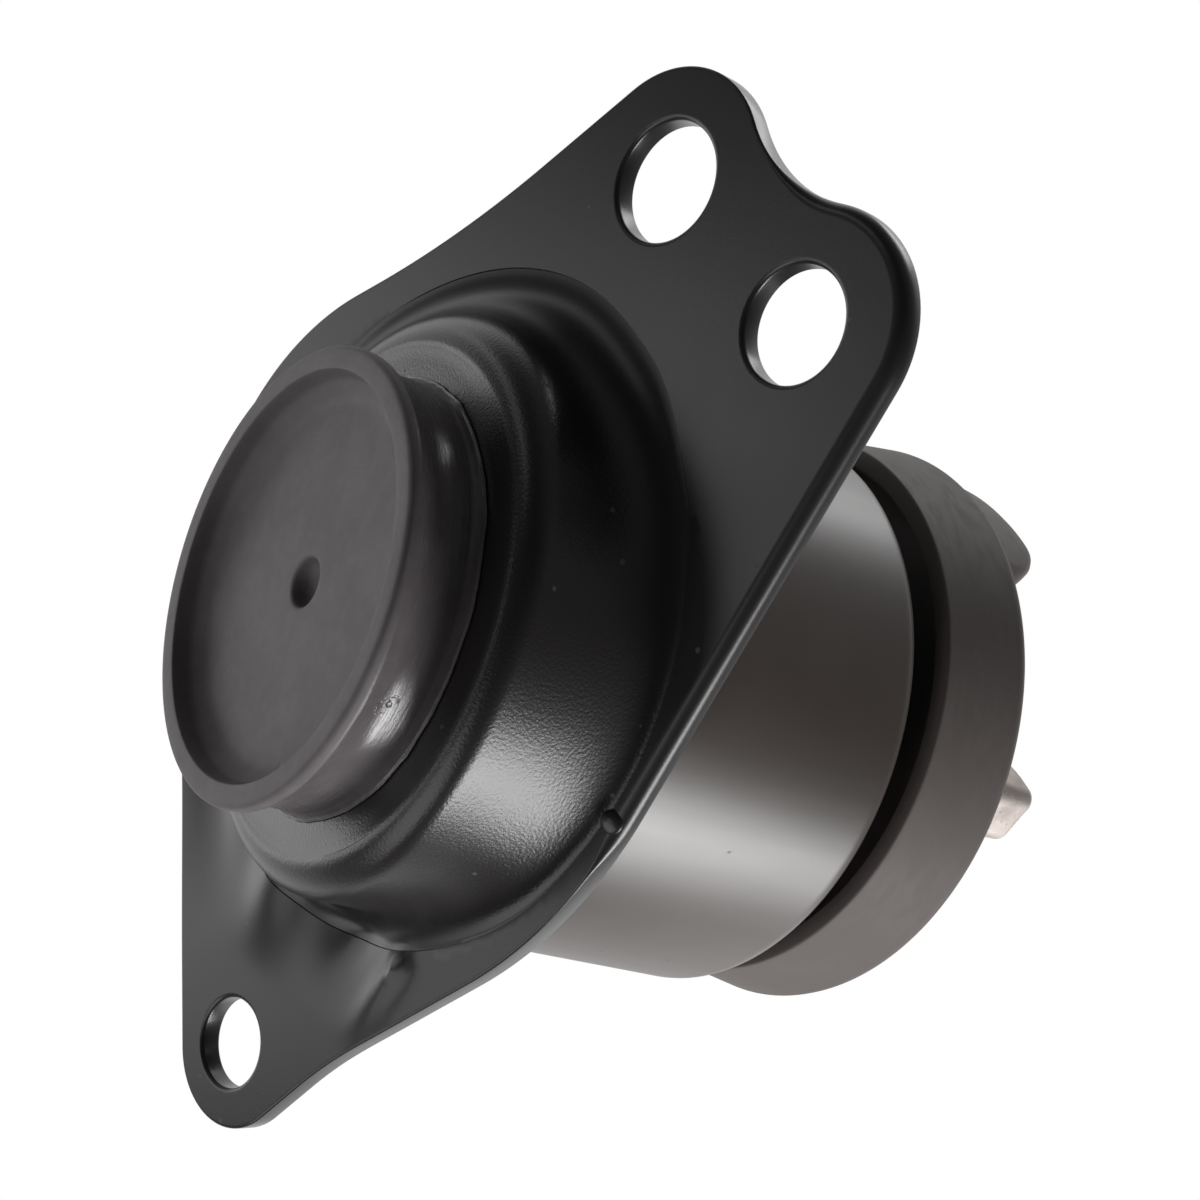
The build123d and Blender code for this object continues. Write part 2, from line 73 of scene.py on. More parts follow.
# soft ridges and hollows in the single-hole tab: start, end, widths there, height, and how each
# fades out (stretch, power) and rises (slope, start) along its way
TAB_FORMS = [((-38.0, -4.5), (-54.0, -1.5), (4.6, 5.2), 1.9, (1.0, 1.0), (1.0, 1.6)),
             ((-34.5, 21.0), (-51.0, 18.0), (1.3, 2.4), 1.2, (1.0, 0.8), (4.0, 0.35)),
             ((-35.0, 12.0), (-50.0, 10.0), (4.2, 4.4), -1.9, (1.0, 1.0), (2.0, 1.0)),
             ((-38.0, -25.0), (-52.0, -12.0), (4.6, 5.0), -1.2, (0.8, 1.0), (2.0, 0.8))]
TAB_END_U = -20.0        # the tab's forms lie beyond this
BACK_FORMS = (38.6, 5.0)  # clear of the sleeve, from this radius and over this far, the back has them too
HOLD = 0.12              # width of the narrow rings that keep a flat face's shading flat
NUB_AT = (-4.1, 38.5, 0.1)  # a flat drop of metal on the straight edge's rounding
NUB_R = 1.4
NUB_THICK = 0.5
NET = 1.3                # spacing of the net that carries the flange's soft forms


def place(x, y, h):
    """A point in millimetres over the pad's rim plane, as metres in the frame."""
    return (x * 0.001, y * 0.001, (h - SEAT_H) * 0.001)


def on_flange(u, v, w):
    """A point in the flange's own plane, w deep into the sheet from its front."""
    return place(u, v * cos(TILT) - w * sin(TILT), FLANGE_H + v * sin(TILT) + w * cos(TILT))


def spread(count):
    """So many angles, evenly round the axis."""
    return [2 * pi * k / count for k in range(count)]


def eased(t):
    t = max(0.0, min(1.0, t))
    return t * t * (3 - 2 * t)


def between(table, x):
    """A value read from (place, value) pairs with an eased change from one to the next."""
    for (x0, y0), (x1, y1) in zip(table, table[1:]):
        if x <= x1:
            return y0 + (y1 - y0) * eased((x - x0) / (x1 - x0))
    return table[-1][1]


def rounded(corners, step):
    """Points of a closed outline of (x, y, corner radius), each with its normal to the left."""
    arcs = []
    for i, (x, y, r) in enumerate(corners):
        here = Vector((x, y))
        back = (Vector(corners[i - 1][:2]) - here).normalized()
        on = (Vector(corners[(i + 1) % len(corners)][:2]) - here).normalized()
        side = 1.0 if back.cross(on) < 0 else -1.0
        into = Vector((back.y, -back.x))
        out = Vector((-on.y, on.x))
        if r == 0:
            arcs.append([(here, (into + out).normalized())])
            continue
        half = back.angle(on) / 2
        centre = here + (back + on).normalized() * (r / sin(half))
        sweep = pi - 2 * half
        count = max(3, ceil(r * sweep / step))
        arc = []
        for k in range(count + 1):
            a = side * sweep * k / count
            n = Vector((into.x * cos(a) - into.y * sin(a), into.x * sin(a) + into.y * cos(a)))
            arc.append((centre - n * r * side, n))
        arcs.append(arc)
    loop = []
    for i, arc in enumerate(arcs):
        loop += arc
        start, n = arc[-1]
        end = arcs[(i + 1) % len(arcs)][0][0]
        count = ceil((end - start).length / step)
        n = Vector((start.y - end.y, end.x - start.x)).normalized()
        loop += [(start.lerp(end, k / count), n) for k in range(1, count)]
    return [(p.x, p.y, n.x, n.y) for p, n in loop]


def within(points, loop):
    """Which of the points lie inside a closed loop."""
    inside = np.zeros(len(points), bool)
    x, y = points[:, 0], points[:, 1]
    for (x0, y0), (x1, y1) in zip(loop, np.roll(loop, -1, axis=0)):
        if y0 != y1:
            across = (y0 > y) != (y1 > y)
            inside ^= across & (x < (x1 - x0) * (y - y0) / (y1 - y0) + x0)
    return inside


def covered(points, loops):
    """Which of the points lie inside the first loop and outside the others."""
    keep = within(points, loops[0])
    for loop in loops[1:]:
        keep &= ~within(points, loop)
    return keep


SLIVER = 2e-4            # a face of less than half this many square millimetres is left out


class Shell:
    """Points and faces of one piece while it is being made."""

    def __init__(self):
        self.points = []
        self.faces = []

    def ring(self, points):
        first = len(self.points)
        self.points += points
        return list(range(first, len(self.points)))

    def join(self, a, b):
        """A band of faces between two closed rings of as many points."""
        for i in range(len(a)):
            k = (i + 1) % len(a)
            self.faces.append((a[i], a[k], b[k], b[i]))

    def bridge(self, rings):
        """Bands of faces from each ring to the next."""
        for a, b in zip(rings, rings[1:]):
            self.join(a, b)
        return rings

    def stack(self, rings):
        return self.bridge([self.ring(ring) for ring in rings])

    def fill(self, rim, holes, flat, net, lay):
        """Covers the flat region between a rim and its holes, with a net of points inside."""
        loops = [np.array([flat[i] for i in loop]) for loop in [rim] + holes]
        low, high = loops[0].min(0), loops[0].max(0)
        rows = int((high[1] - low[1]) / (net * 0.866))
        cols = int((high[0] - low[0]) / net)
        spots = np.array([(low[0] + net * (c + 0.5 * (r % 2)), low[1] + net * 0.866 * r)
                          for r in range(rows + 1) for c in range(cols + 2)])
        spots = spots[covered(spots, loops)]
        edge = np.concatenate(loops)
        clear = [np.hypot(*(edge - s).T).min() > net * 0.6 for s in spots]
        spots = spots[clear]
        order = [i for loop in [rim] + holes for i in loop]
        extra = self.ring([lay(u, v) for u, v in spots])
        lines, first = [], 0
        for loop in loops:
            count = len(loop)
            lines += [(first + i, first + (i + 1) % count) for i in range(count)]
            first += count
        flat_points = [Vector(p) for p in np.concatenate([edge, spots])]
        made, _, triangles, origin, _, _ = delaunay_2d_cdt(flat_points, lines, [], 0, 1e-6)
        middles = np.array([[sum(made[i].x for i in t) / 3, sum(made[i].y for i in t) / 3]
                            for t in triangles])
        index = order + extra
        for t, kept in zip(triangles, covered(middles, loops)):
            p, q, r = (made[i] for i in t)
            if kept and abs((q - p).cross(r - p)) > SLIVER:
                self.faces.append(tuple(index[origin[i][0]] for i in t))

    def piece(self, name, sharp):
        mesh = bpy.data.meshes.new(name)
        mesh.from_pydata(self.points, [], self.faces)
        return closed_piece(name, mesh, sharp)


def added(name, data):
    """A new object in the scene."""
    made = bpy.data.objects.new(name, data)
    bpy.context.scene.collection.objects.link(made)
    return made


def closed_piece(name, mesh, sharp):
    """A mesh as an object: welded, faces outwards, smooth but for edges over an angle in degrees."""
    work = bmesh.new()
    work.from_mesh(mesh)
    bmesh.ops.remove_doubles(work, verts=work.verts, dist=2e-6)
    bmesh.ops.dissolve_degenerate(work, edges=work.edges, dist=1e-7)
    bmesh.ops.delete(work, geom=[e for e in work.edges if not e.link_faces], context="EDGES")
    bmesh.ops.delete(work, geom=[v for v in work.verts if not v.link_faces], context="VERTS")
    bmesh.ops.recalc_face_normals(work, faces=work.faces)
    for face in work.faces:
        face.smooth = True
    for edge in work.edges:
        if len(edge.link_faces) == 2 and edge.calc_face_angle() > radians(sharp):
            edge.smooth = False
    work.to_mesh(mesh)
    work.free()
    return added(name, mesh)


class Wire:
    """One output in a node tree. Arithmetic on it adds Math nodes; node() adds any other node."""

    def __init__(self, tree, socket=None):
        self.tree = tree
        self.socket = socket

    def node(self, kind, settings, values, pick=0):
        made = self.tree.nodes.new(kind)
        for name, value in settings.items():
            setattr(made, name, value)
        for name, value in values.items():
            if isinstance(value, Wire):
                self.tree.links.new(value.socket, made.inputs[name])
            else:
                made.inputs[name].default_value = value
        return Wire(self.tree, made.outputs[pick] if made.outputs else None)

    def beside(self, name):
        """Another output of the same node."""
        return Wire(self.tree, self.socket.node.outputs[name])

    def math(self, operation, *terms):
        return self.node("ShaderNodeMath", {"operation": operation}, dict(enumerate(terms)))

    def __add__(self, other):
        return self.math("ADD", self, other)

    def __radd__(self, other):
        return self.math("ADD", other, self)

    def __sub__(self, other):
        return self.math("SUBTRACT", self, other)

    def __rsub__(self, other):
        return self.math("SUBTRACT", other, self)

    def __mul__(self, other):
        return self.math("MULTIPLY", self, other)

    def __truediv__(self, other):
        return self.math("DIVIDE", self, other)

    def vector(self, operation, *terms, pick="Value"):
        """Vector Math on this and other vectors."""
        return self.node("ShaderNodeVectorMath", {"operation": operation}, dict(enumerate((self, *terms))),
                         pick)

    def step(self, low, high):
        """0 below low and 1 above high, eased in between."""
        return self.node("ShaderNodeMapRange", {"interpolation_type": "SMOOTHSTEP"},
                         {"Value": self, "From Min": low, "From Max": high})

    def noise(self, scale, detail=2.0, roughness=0.5):
        """Noise over this place in millimetres, scale being its waves per millimetre."""
        return self.node("ShaderNodeTexNoise", {},
                         {"Vector": self, "Scale": scale, "Detail": detail, "Roughness": roughness})

    def cells(self, scale, pick="Distance"):
        """Distance to the nearest of scattered points, or the colour of its cell."""
        return self.node("ShaderNodeTexVoronoi", {"feature": "F1"}, {"Vector": self, "Scale": scale}, pick)

    def specks(self, scale, low, high):
        """1 at scattered points and 0 away from them, eased between two distances."""
        return 1.0 - self.cells(scale).step(low, high)

    def tint(self, a, b):
        """Colour a where this is 0 and colour b where it is 1."""
        return self.node("ShaderNodeMix", {"data_type": "RGBA"}, {0: self, 6: (*a, 1.0), 7: (*b, 1.0)}, 2)

    def times(self, x, y, z):
        """This place with each of its parts multiplied."""
        return self.vector("MULTIPLY", (x, y, z), pick=0)

    def across(self):
        """Distance of this place from the mount's axis."""
        return self.times(1.0, 1.0, 0.0).vector("LENGTH")

    def height(self):
        """Height of this place over the pad's rim."""
        return self.node("ShaderNodeSeparateXYZ", {}, {"Vector": self}, "Z") + SEAT_H

    def mark(self, place, size):
        """1 within size of a point in millimetres of the frame and 0 beyond it."""
        return 1.0 - self.vector("DISTANCE", place).step(size * 0.6, size)


def cleared(owner):
    """The emptied node tree of a material or a world."""
    owner.use_nodes = True
    owner.node_tree.nodes.clear()
    return Wire(owner.node_tree)


def start_finish(name):
    """A new material, and the place on the piece in millimetres."""
    material = bpy.data.materials.new(name)
    blank = cleared(material)
    spot = blank.node("ShaderNodeTexCoord", {}, {}, "Object")
    spot = blank.node("ShaderNodeVectorMath", {"operation": "SCALE"}, {0: spot, "Scale": 1000.0})
    return material, spot


def end_finish(spot, colour, rough, height, depth, metal=0.0, specular=0.5):
    """Joins the shader to the output, with a bump of a height in units of depth millimetres."""
    bump = spot.node("ShaderNodeBump", {}, {"Height": height, "Distance": depth * 0.001})
    shader = spot.node("ShaderNodeBsdfPrincipled", {}, {
        "Base Color": colour, "Roughness": rough, "Metallic": metal, "Specular IOR Level": specular,
        "Normal": bump})
    spot.node("ShaderNodeOutputMaterial", {}, {"Surface": shader})


def put_on(piece, material, *nodes, slot):
    """Gives a piece its material, hangs it on the root and hides the CAD nodes that it stands for; slot is
    not used.
    """
    piece.data.materials.clear()
    piece.data.materials.append(material)
    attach(piece, "root")
    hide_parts(*nodes)


def cup_wall(theta):
    """Radius of the cup's wall, and of the shoulder under it, at an angle."""
    flat = CUP_FLAT * max(0.0, sin(theta)) ** 1.3 - CUP_LONG * cos(theta) ** 2
    return CUP_R - flat, SHOULDER_R - flat


def draw_corner(theta, r):
    """Centre of the rolling ball, as (radius, height), in the corner between cup and flange."""
    wall, shoulder = cup_wall(theta)
    k = tan(TILT) * sin(theta)
    rise = sqrt(1 + k * k)
    c = wall + r
    h = FLANGE_H + c * k - r * rise
    turn_h = CUP_END_H + shoulder
    if h < turn_h:
        low, high = wall - shoulder, wall + r
        for _ in range(40):
            c = (low + high) / 2
            h = FLANGE_H + c * k - r * rise
            if hypot(c - wall + shoulder, h - turn_h) < shoulder + r:
                low = c
            else:
                high = c
    return c, h


def ridge(u, v, start, end, width):
    """How far along a line a point is, 0 at its start and 1 at its end, and how near, from 1 on it to 0."""
    du, dv = end[0] - start[0], end[1] - start[1]
    run = hypot(du, dv)
    along = ((u - start[0]) * du + (v - start[1]) * dv) / run
    across = ((u - start[0]) * dv - (v - start[1]) * du) / run
    t = max(0.0, min(1.0, along / run))
    spread = width[0] + (width[1] - width[0]) * t
    return along / run, exp(-(across / spread) ** 2)


def lift(u, v):
    """How far the sheet stands proud of its plane in the single-hole tab's soft forms."""
    raised = 0.0
    if u < TAB_END_U:
        for start, end, widths, height, (stretch, power), (slope, first) in TAB_FORMS:
            t, near = ridge(u, v, start, end, widths)
            raised += height * near * (1 - eased(t * stretch)) ** power * eased(t * slope + first)
    return raised


def over_sheet(p):
    """How far up the tilted sheet, in its own plane, a point lies."""
    return p.y * cos(TILT) + (p.z - FLANGE_H) * sin(TILT)


def clear_of_sleeve(u, v):
    """0 where the sleeve stands on the sheet's back and 1 clear of it."""
    return eased((hypot(u, v * cos(TILT)) - BACK_FORMS[0]) / BACK_FORMS[1])


def make_flange():
    shell = Shell()
    flat = {}

    def lay_ring(loop, inset, w, side):
        """A ring of the sheet's edge: inset from the outline, w deep, its place kept for the fill."""
        ring = []
        for i, (x, y, nx, ny) in enumerate(loop):
            u, v = x + nx * inset[i], y + ny * inset[i]
            raised = lift(u, v) * (1.0 if side == "front" else clear_of_sleeve(u, v))
            ring.append((u, v, w[i] - raised))
        made = shell.ring([on_flange(*p) for p in ring])
        flat.update({i: p[:2] for i, p in zip(made, ring)})
        return made

    def edge(loop, front_round, back_round):
        """Rings over the sheet's cut edge from its front face to its back face."""
        rings = [lay_ring(loop, [r + HOLD for r in front_round], [0.0] * len(loop), "front")]
        for k in range(8):
            a = pi / 2 * k / 7
            inset = [r * (1 - sin(a)) for r in front_round]
            w = [r * (1 - cos(a)) for r in front_round]
            rings.append(lay_ring(loop, inset, w, "front"))
        for k in range(5):
            a = pi / 2 * k / 4
            inset = [back_round * (1 - cos(a))] * len(loop)
            w = [SHEET - back_round * (1 - sin(a))] * len(loop)
            rings.append(lay_ring(loop, inset, w, "back"))
        rings.append(lay_ring(loop, [back_round + HOLD] * len(loop), [SHEET] * len(loop), "back"))
        shell.bridge(rings)
        return rings[0], rings[-1]

    outline = rounded(FLANGE_CORNERS, 0.8)
    rounds = []
    for x, y, _, _ in outline:
        straight = eased((x + 12) / 8.0) * eased((y - 12) / 14.0)
        rounds.append(EDGE_ROUND[0] + (EDGE_ROUND[1] - EDGE_ROUND[0]) * straight)
    front_rim, back_rim = edge(outline, rounds, BACK_ROUND)
    front_holes, back_holes = [], []
    for x, y, r in FLANGE_HOLES:
        loop = []
        for a in spread(72):
            a = -a
            loop.append((x + r * cos(a), y + r * sin(a), cos(a), sin(a)))
        front, back = edge(loop, [HOLE_ROUND] * len(loop), HOLE_BACK_ROUND)
        front_holes.append(front)
        back_holes.append(back)

    # the cup, ring by ring from its centre hole to the foot of the draw radius
    steps = 288
    angles = spread(steps)
    bearings = [degrees(atan2(sin(a), cos(a))) for a in angles]
    radii = [between(DRAW_RADII, bearing) for bearing in bearings]
    balls = [draw_corner(a, r) for a, r in zip(angles, radii)]
    walls = [cup_wall(a) for a in angles]
    arcs = [CUP_END_H + shoulder for _, shoulder in walls]
    axis_r = CUP_R - SHOULDER_R

    # the draw radius: a conic from the wall to the sheet, shortened where the sheet's edge is near
    normal = Vector((0.0, -sin(TILT), cos(TILT)))
    arms, ends = [], []
    for a, bearing, (c, h), r, arc_h in zip(angles, bearings, balls, radii, arcs):
        centre = Vector((c * cos(a), c * sin(a), h))
        if h < arc_h:
            start = Vector((axis_r * cos(a), axis_r * sin(a), arc_h)) - centre
            ends.append(pi / 2 - atan2(arc_h - h, c - axis_r))
        else:
            start = Vector((-cos(a), -sin(a), 0.0))
            ends.append(pi / 2)
        start.normalize()
        half = start.angle(normal) / 2
        corner = centre + (start + normal).normalized() * (r / cos(half))
        begin = centre + start * r
        if h >= arc_h:
            begin.z = max(arc_h, min(h, corner.z - between(WALL_FLARE, bearing)))
        arms.append((begin, corner, centre + normal * r, cos(half)))

    # the flat end dishes in a little towards the crisp edge, where the shoulder starts with a bend
    flat_end = [(CENTRE_HOLE_R, HOLLOW_H), (CENTRE_HOLE_R, CUP_END_H), (27.0, CUP_END_H),
                (29.4, CUP_END_H + 0.1), (END_EDGE_R - 0.7, CUP_END_H + 0.12),
                (END_EDGE_R - 0.25, CUP_END_H + 0.06), (END_EDGE_R, CUP_END_H + 0.08)]
    rings = [[p] * steps for p in flat_end]
    bend = 0.06
    for k in range(15):
        ring = []
        for stop, (_, shoulder), arc_h in zip(ends, walls, arcs):
            a = bend + (stop - bend) * k / 14
            ring.append((axis_r + shoulder * sin(a), arc_h - shoulder * cos(a)))
        rings.append(ring)
    shoulder_end = rings[-1]
    for k in range(1, 7):
        rings.append([(r, h + (begin.z - h) * k / 6)
                      for (r, h), (begin, _, _, _) in zip(shoulder_end, arms)])
    points = [[place(r * cos(a), r * sin(a), h) for a, (r, h) in zip(angles, ring)] for ring in rings]
    # how much of each corner's reach keeps clear of the sheet's rounded edge, evened out round the cup
    edge_points = np.array([(x, y) for x, y, _, _ in outline])
    room = []
    for _, corner, end, _ in arms:
        share = 1.0
        while share > 0.1:
            p = corner.lerp(end, share)
            off = np.hypot(edge_points[:, 0] - p.x, edge_points[:, 1] - over_sheet(p))
            if off.min() > rounds[off.argmin()] + EDGE_CLEAR:
                break
            share -= 0.04
        room.append(share)
    nearby = range(-9, 10)
    low = [min(room[(i + k) % steps] for k in nearby) for i in range(steps)]
    room = [sum(low[(i + k) % steps] for k in nearby) / len(nearby) for i in range(steps)]
    # the conic's rings, and one more that keeps the shading of the flat sheet flat
    blend_steps = 14
    foot = []
    for k in range(1, blend_steps + 1):
        ring = []
        t = k / blend_steps
        for (start, corner, end, weight), share in zip(arms, room):
            parts = ((1 - t) ** 2, 2 * t * (1 - t) * weight, t * t)
            foot_point = corner.lerp(end, share)
            p = (start * parts[0] + corner * parts[1] + foot_point * parts[2]) / sum(parts)
            ring.append(p - normal * lift(p.x, over_sheet(p)) * eased(t * 1.2))
            if k == blend_steps:
                foot.append((p.x, over_sheet(p)))
        points.append([place(*p) for p in ring])
    foot = [(u * (1 + HOLD / hypot(u, v)), v * (1 + HOLD / hypot(u, v))) for u, v in foot]
    points.append([on_flange(u, v, -lift(u, v)) for u, v in foot])
    made = shell.stack(points)
    flat.update(zip(made[-1], foot))
    shell.fill(front_rim, front_holes + [made[-1]], flat, NET,
               lambda u, v: on_flange(u, v, -lift(u, v)))

    # inside of the cup, up to the back of the sheet
    bend_r = HOLLOW_R - HOLLOW_BEND
    inner = [(CENTRE_HOLE_R, HOLLOW_H), (29.0, HOLLOW_H), (bend_r, HOLLOW_H)]
    for k in range(1, 7):
        a = pi / 12 * k
        inner.append((bend_r + HOLLOW_BEND * sin(a), HOLLOW_H + HOLLOW_BEND * (1 - cos(a))))
    points = [[place(r * cos(a), r * sin(a), h) for a in angles] for r, h in inner]
    mouth, mouth_flat = [], []
    for a in angles:
        y = HOLLOW_R * sin(a)
        h = FLANGE_H + (SHEET + y * sin(TILT)) / cos(TILT)
        mouth.append(place(HOLLOW_R * cos(a), y, h))
        mouth_flat.append((HOLLOW_R * cos(a), y * cos(TILT) + (h - FLANGE_H) * sin(TILT)))
    made_in = shell.stack(points + [mouth])
    shell.join(made[0], made_in[0])
    flat.update(zip(made_in[-1], mouth_flat))
    shell.fill(back_rim, back_holes + [made_in[-1]], flat, NET * 1.6,
               lambda u, v: on_flange(u, v, SHEET - lift(u, v) * clear_of_sleeve(u, v)))
    return shell.piece("pressed_flange_cup", 32)


FLECKS = [(34.5, 11.5, -77.6), (26.4, 23.8, -70.7), (22.2, 27.7, -69.1), (17.9, 36.7, -61.1)]  # of dust
flange = make_flange()
paint, spot = start_finish("satin black paint")
peel = spot.noise(2.8, 1.0, 0.5) * (1.0 - spot.across().step(36.6, 38.4) * 0.85)
cloud = spot.noise(0.035, 3.0).step(0.3, 0.7)
speck = spot.specks(0.16, 0.03, 0.055)
for fleck_place in FLECKS:
    speck = speck + spot.mark(fleck_place, 0.42)
black = (speck * 0.6).tint((0.020, 0.0178, 0.0185), (0.09, 0.09, 0.09))
end_finish(spot, black, 0.28 + cloud * 0.05 + speck * 0.2, peel, 0.034)
put_on(flange, paint, "flange_cup", slot="black_paint")
nub_mesh = bpy.data.meshes.new("edge_nub")
work = bmesh.new()
lie = Matrix.Translation(on_flange(*NUB_AT)) @ Matrix.Rotation(TILT + radians(200), 4, "X")
lie = lie @ Matrix.Diagonal((NUB_R, NUB_R, NUB_THICK, 1.0))
bmesh.ops.create_icosphere(work, subdivisions=4, radius=0.001, matrix=lie)
work.to_mesh(nub_mesh)
work.free()
put_on(closed_piece("edge_nub", nub_mesh, 40), paint, "flange_cup", slot="black_paint")

# Base pad. Black rubber moulded onto the cup's end and keyed through its hole,
# with a steep-sided recess, a centre dimple and an uneven flash line at its foot.
PAD = [(0.0, 6.2, 0), (2.7, 6.2, 1.6), (3.1, 3.9, 0.5), (22.5, 3.9, 2.4), (24.5, 2.2, 1.5),
       (25.05, 0.0, 0.22), (28.0, 0.0, 0.7), (28.0, 1.6, 1.0), (26.5, 4.4, 4.0), (26.7, 9.0, 2.0),
       (27.05, 10.1, 0.1), (27.3, 10.2, 0.05), (27.4, 10.36, 0.05), (27.0, CUP_END_H, 0),
       (CENTRE_HOLE_R, CUP_END_H, 0), (CENTRE_HOLE_R, HOLLOW_H, 0), (6.6, 13.1, 0.2), (6.2, 14.4, 0.4),
       (4.6, 15.6, 0.6), (0.0, 15.6, 0)]
FLASH = (26.75, 9.6, 10.45)  # the flash lies outside this radius and between these heights
FLASH_BURR = 0.28        # how far its burrs stand out


def take(tree, inputs):
    """Gives a tree its named inputs and one output, and returns the first input."""
    for name, kind in inputs.items():
        tree.interface.new_socket(name, in_out="INPUT", socket_type="NodeSocket" + kind)
    tree.interface.new_socket("Piece", in_out="OUTPUT", socket_type="NodeSocketGeometry")
    return Wire(tree).node("NodeGroupInput", {}, {})


def finish(made, material):
    """Ends a tree: its instances made real and their material set."""
    plain = made.node("GeometryNodeRealizeInstances", {}, {"Geometry": made})
    done = made.node("GeometryNodeSetMaterial", {}, {"Geometry": plain, "Material": material})
    made.node("NodeGroupOutput", {}, {0: done})


def turned_tree():
    """Geometry Nodes that turn a closed profile, drawn as (radius, 0, height), about the axis.
    Points that fall below the tilted plane of a cut are brought up to it."""
    tree = bpy.data.node_groups.new("turned part", "GeometryNodeTree")
    given = take(tree, {"Profile": "Geometry", "Steps": "Int", "Cut Height": "Float", "Cut Slope": "Float",
                        "Finish": "Material"})
    steps = given.beside("Steps")
    count = given.node("GeometryNodeAttributeDomainSize", {}, {"Geometry": given}, "Point Count")
    size = {"Vertices X": count + 1, "Vertices Y": steps + 1}
    net = given.node("GeometryNodeMeshGrid", {}, size, "Mesh")
    index = given.node("GeometryNodeInputIndex", {}, {})
    row = index.math("FLOOR", (index + 0.25) / (steps + 1))
    spoke = index - row * (steps + 1)
    position = given.node("GeometryNodeInputPosition", {}, {})
    point = row.math("FLOORED_MODULO", row, count)
    source = given.node("GeometryNodeSampleIndex", {"data_type": "FLOAT_VECTOR"},
                        {"Geometry": given, "Value": position, "Index": point})
    parts = source.node("ShaderNodeSeparateXYZ", {}, {"Vector": source})
    r, h = parts, parts.beside("Z")
    turn = spoke * (2 * pi) / steps
    x = r * turn.math("COSINE", turn)
    y = r * turn.math("SINE", turn)
    cut = given.beside("Cut Height") + y * given.beside("Cut Slope")
    where = r.node("ShaderNodeCombineXYZ", {}, {"X": x, "Y": y, "Z": h.math("MAXIMUM", h, cut)})
    turned = given.node("GeometryNodeSetPosition", {}, {"Geometry": net, "Position": where})
    welded = given.node("GeometryNodeMergeByDistance", {}, {"Geometry": turned, "Distance": 1e-6})
    finish(welded, given.beside("Finish"))
    return tree


def grown(name, mesh, tree, inputs, sharp):
    """Runs a Geometry Nodes tree on a mesh and returns its result as a plain piece."""
    seed = added(name + "_seed", mesh)
    grow = seed.modifiers.new("grow", "NODES")
    grow.node_group = tree
    for item in tree.interface.items_tree:
        if item.name in inputs:
            grow[item.identifier] = inputs[item.name]
    grown_seed = seed.evaluated_get(bpy.context.evaluated_depsgraph_get())
    result = bpy.data.meshes.new_from_object(grown_seed)
    seed.modifiers.remove(grow)
    bpy.data.objects.remove(seed)
    result.name = name
    return closed_piece(name, result, sharp)


TURNED = turned_tree()


def turned(name, corners, material, steps=240, sharp=32, cut=(-1.0, 0.0), grain=60.0):
    """A piece turned from profile corners of (radius, height, corner radius), with points along its
    profile no further apart than its grain."""
    points = [place(x, 0.0, y) for x, y, _, _ in rounded(corners, grain)]
    mesh = bpy.data.meshes.new(name)
    count = len(points)
    mesh.from_pydata(points, [(i, (i + 1) % count) for i in range(count)], [])
    inputs = {"Steps": steps, "Cut Height": cut[0], "Cut Slope": cut[1], "Finish": material}
    return grown(name, mesh, TURNED, inputs, sharp)


rubber, spot = start_finish("moulded pad rubber")
pebble = spot.noise(2.1, 3.0, 0.65)
fine = spot.noise(7.0, 1.0)
cloud = spot.noise(0.09, 3.0).step(0.3, 0.7)
bloom = spot.noise(0.5, 2.0, 0.6).step(0.35, 0.8)
rubbed = spot.times(0.12, 0.12, 5.0).noise(1.0, 3.0, 0.7).step(0.45, 0.75)
wall = spot.height().step(1.0, 1.8)
outer = spot.across().step(25.6, 26.0)
side = wall * outer
ragged = spot.noise(1.3, 2.0).step(0.42, 0.58)
chip = (spot.mark((-2.1, 26.6, -88.1), 1.5) + spot.mark((-1.0, 26.5, -87.1), 1.0)) * ragged * 0.7
chip = chip + spot.mark((-17.3, 13.9, -88.6), 0.6)
dark = cloud * 0.6 + bloom * 0.4
grey = (dark + chip * 0.8).tint((0.110, 0.098, 0.101), (0.148, 0.134, 0.138))
end_finish(spot, grey, 0.66 - side * 0.45 + side * rubbed * 0.12,
           (pebble * 0.8 + fine * 0.2) * (1.0 - side * 0.85) + side * rubbed * 0.2 - chip * 1.2, 0.045)
pad = turned("rubber_base_pad", PAD, rubber, steps=288, grain=0.8)
for point in pad.data.vertices:
    x, y, h = point.co.x * 1000, point.co.y * 1000, point.co.z * 1000 + SEAT_H
    r = hypot(x, y)
    if r > FLASH[0] and FLASH[1] < h < FLASH[2]:
        burr = noise.noise((x * 0.22, y * 0.22, 1.7)) + 0.5 * noise.noise((x * 0.9, y * 0.9, 4.1))
        share = 1 + FLASH_BURR * max(-0.35, burr) * eased((h - FLASH[1]) / 0.5) / r
        point.co.x *= share
        point.co.y *= share
put_on(pad, rubber, "base_pad", slot="pad_rubber")

# Sleeve. A drawn steel tube welded to the back of the flange, its far end rolled
# in over the stack that it clamps. Painted with the flange.
SLEEVE_R = 37.3
SLEEVE_IN_R = 35.0
SLEEVE_LOW = 8.0         # under the sheet's back everywhere, where the tilted cut ends it
SLEEVE_TOP = 69.0
LIP_R = 32.6
LIP_H = 64.9
ROLL_R = 2.2
coat, spot = start_finish("sleeve paint")
peel = spot.noise(1.2, 2.0, 0.5) * 0.7 + spot.noise(3.6, 1.0) * 0.3
drawn = spot.times(0.35, 0.35, 0.04).noise(1.0, 2.0).step(0.3, 0.7)
film = spot.noise(0.05, 3.0).step(0.3, 0.7)
speck = spot.specks(0.21, 0.03, 0.06)
brown = (film * 0.6 + speck * 0.4).tint((0.060, 0.048, 0.042), (0.084, 0.068, 0.061))
end_finish(spot, brown, 0.38 + drawn * 0.02 + speck * 0.2, peel + drawn * 0.3, 0.007, specular=0.85)
